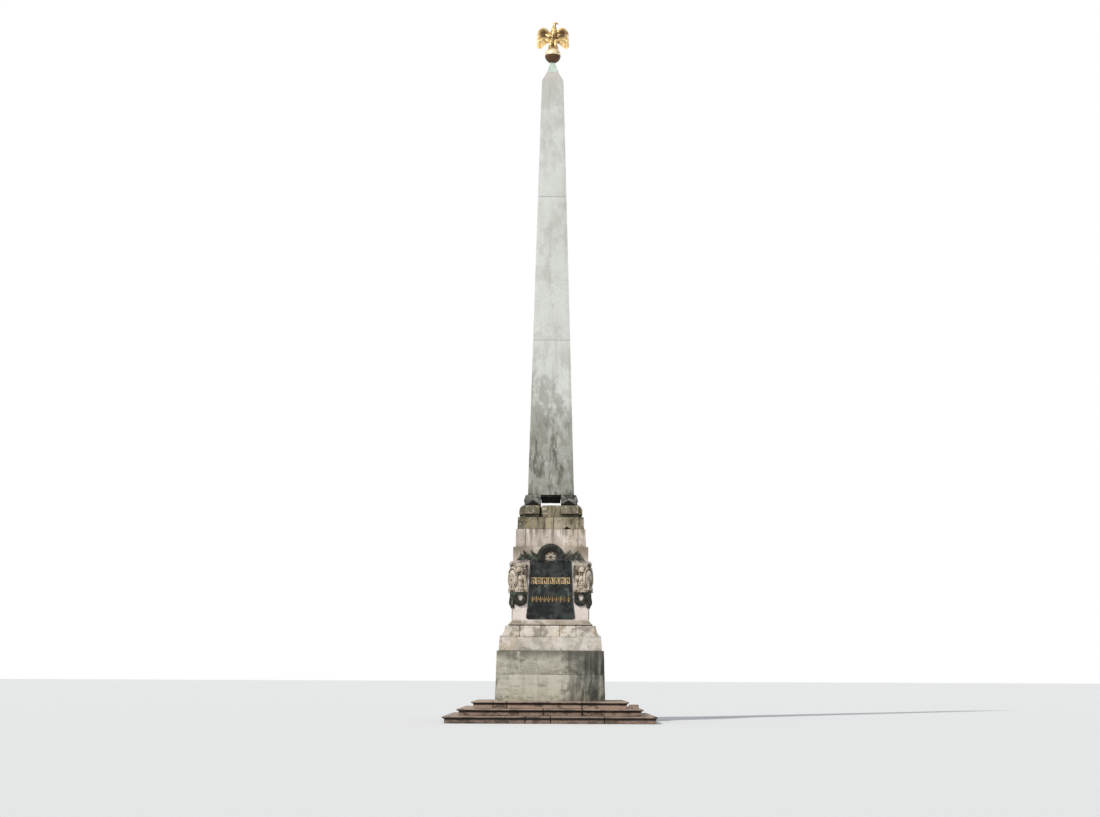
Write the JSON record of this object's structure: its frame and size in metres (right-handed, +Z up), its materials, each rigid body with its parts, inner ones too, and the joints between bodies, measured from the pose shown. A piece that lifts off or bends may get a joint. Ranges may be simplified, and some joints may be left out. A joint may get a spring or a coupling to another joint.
{
  "type": "memorial obelisk",
  "caption": "Square memorial obelisk on steps, with a decorated pedestal, a shaft raised on blocks and a gilt eagle on a ball.",
  "frame": {"origin": "on the ground at the middle of the lowest step", "axes": "+Z up, front of the pedestal toward -Y, +X to the viewer's right"},
  "size_m": [5.852, 5.852, 21.06],
  "materials": {
    "red_granite": "reddish brown step stone, worn nosings, damp joints",
    "grey_granite": "smooth grey-green granite with lighter patches",
    "veined_marble": "pinkish white marble with grey runs",
    "weathered_sandstone": "yellow-brown stone with lichen and soot",
    "dark_support_stone": "dark grey dressed stone",
    "shaft_granite": "pale grey granite, greyer and streaked toward the foot",
    "pale_cap_stone": "pale greenish white cap",
    "gilding": "gilt casting, bright above and brown beneath",
    "dark_green_stone": "polished green-black stone with pale clouds",
    "dark_bronze": "near-black bronze with a grey bloom",
    "carved_marble": "carved white marble with soot in the hollows"
  },
  "bodies": {
    "root": {"apex_cap": "pale_cap_stone", "ball": "gilding", "base_lower_course": "grey_granite", "base_upper_course": "grey_granite", "batter_course": "veined_marble", "cap_core": "weathered_sandstone", "cap_corner_back_left": "weathered_sandstone", "cap_corner_back_right": "weathered_sandstone", "cap_corner_front_left": "weathered_sandstone", "cap_corner_front_right": "weathered_sandstone", "die": "veined_marble", "eagle_body": "gilding", "eagle_wing_left": "gilding", "eagle_wing_right": "gilding", "festoon_back_left": "dark_bronze", "festoon_back_right": "dark_bronze", "festoon_front_left": "dark_bronze", "festoon_front_right": "dark_bronze", "hollow_course": "veined_marble", "loose_end_stone": "red_granite", "lower_shoulder_course": "veined_marble", "medallion_back": "carved_marble", "medallion_front": "carved_marble", "plaque_back": "dark_green_stone", "plaque_front": "dark_green_stone", "plaque_left": "dark_green_stone", "plaque_right": "dark_green_stone", "shaft_lower": "shaft_granite", "shaft_middle": "shaft_granite", "shaft_support_back_left": "dark_support_stone", "shaft_support_back_right": "dark_support_stone", "shaft_support_front_left": "dark_support_stone", "shaft_support_front_right": "dark_support_stone", "shaft_upper": "shaft_granite", "step_bottom": "red_granite", "step_middle": "red_granite", "step_top": "red_granite", "trophy_back_left": "carved_marble", "trophy_back_right": "carved_marble", "trophy_front_left": "carved_marble", "trophy_front_right": "carved_marble", "upper_shoulder_course": "weathered_sandstone", "wreath_back": "dark_bronze", "wreath_front": "dark_bronze"}
  },
  "joints": []
}
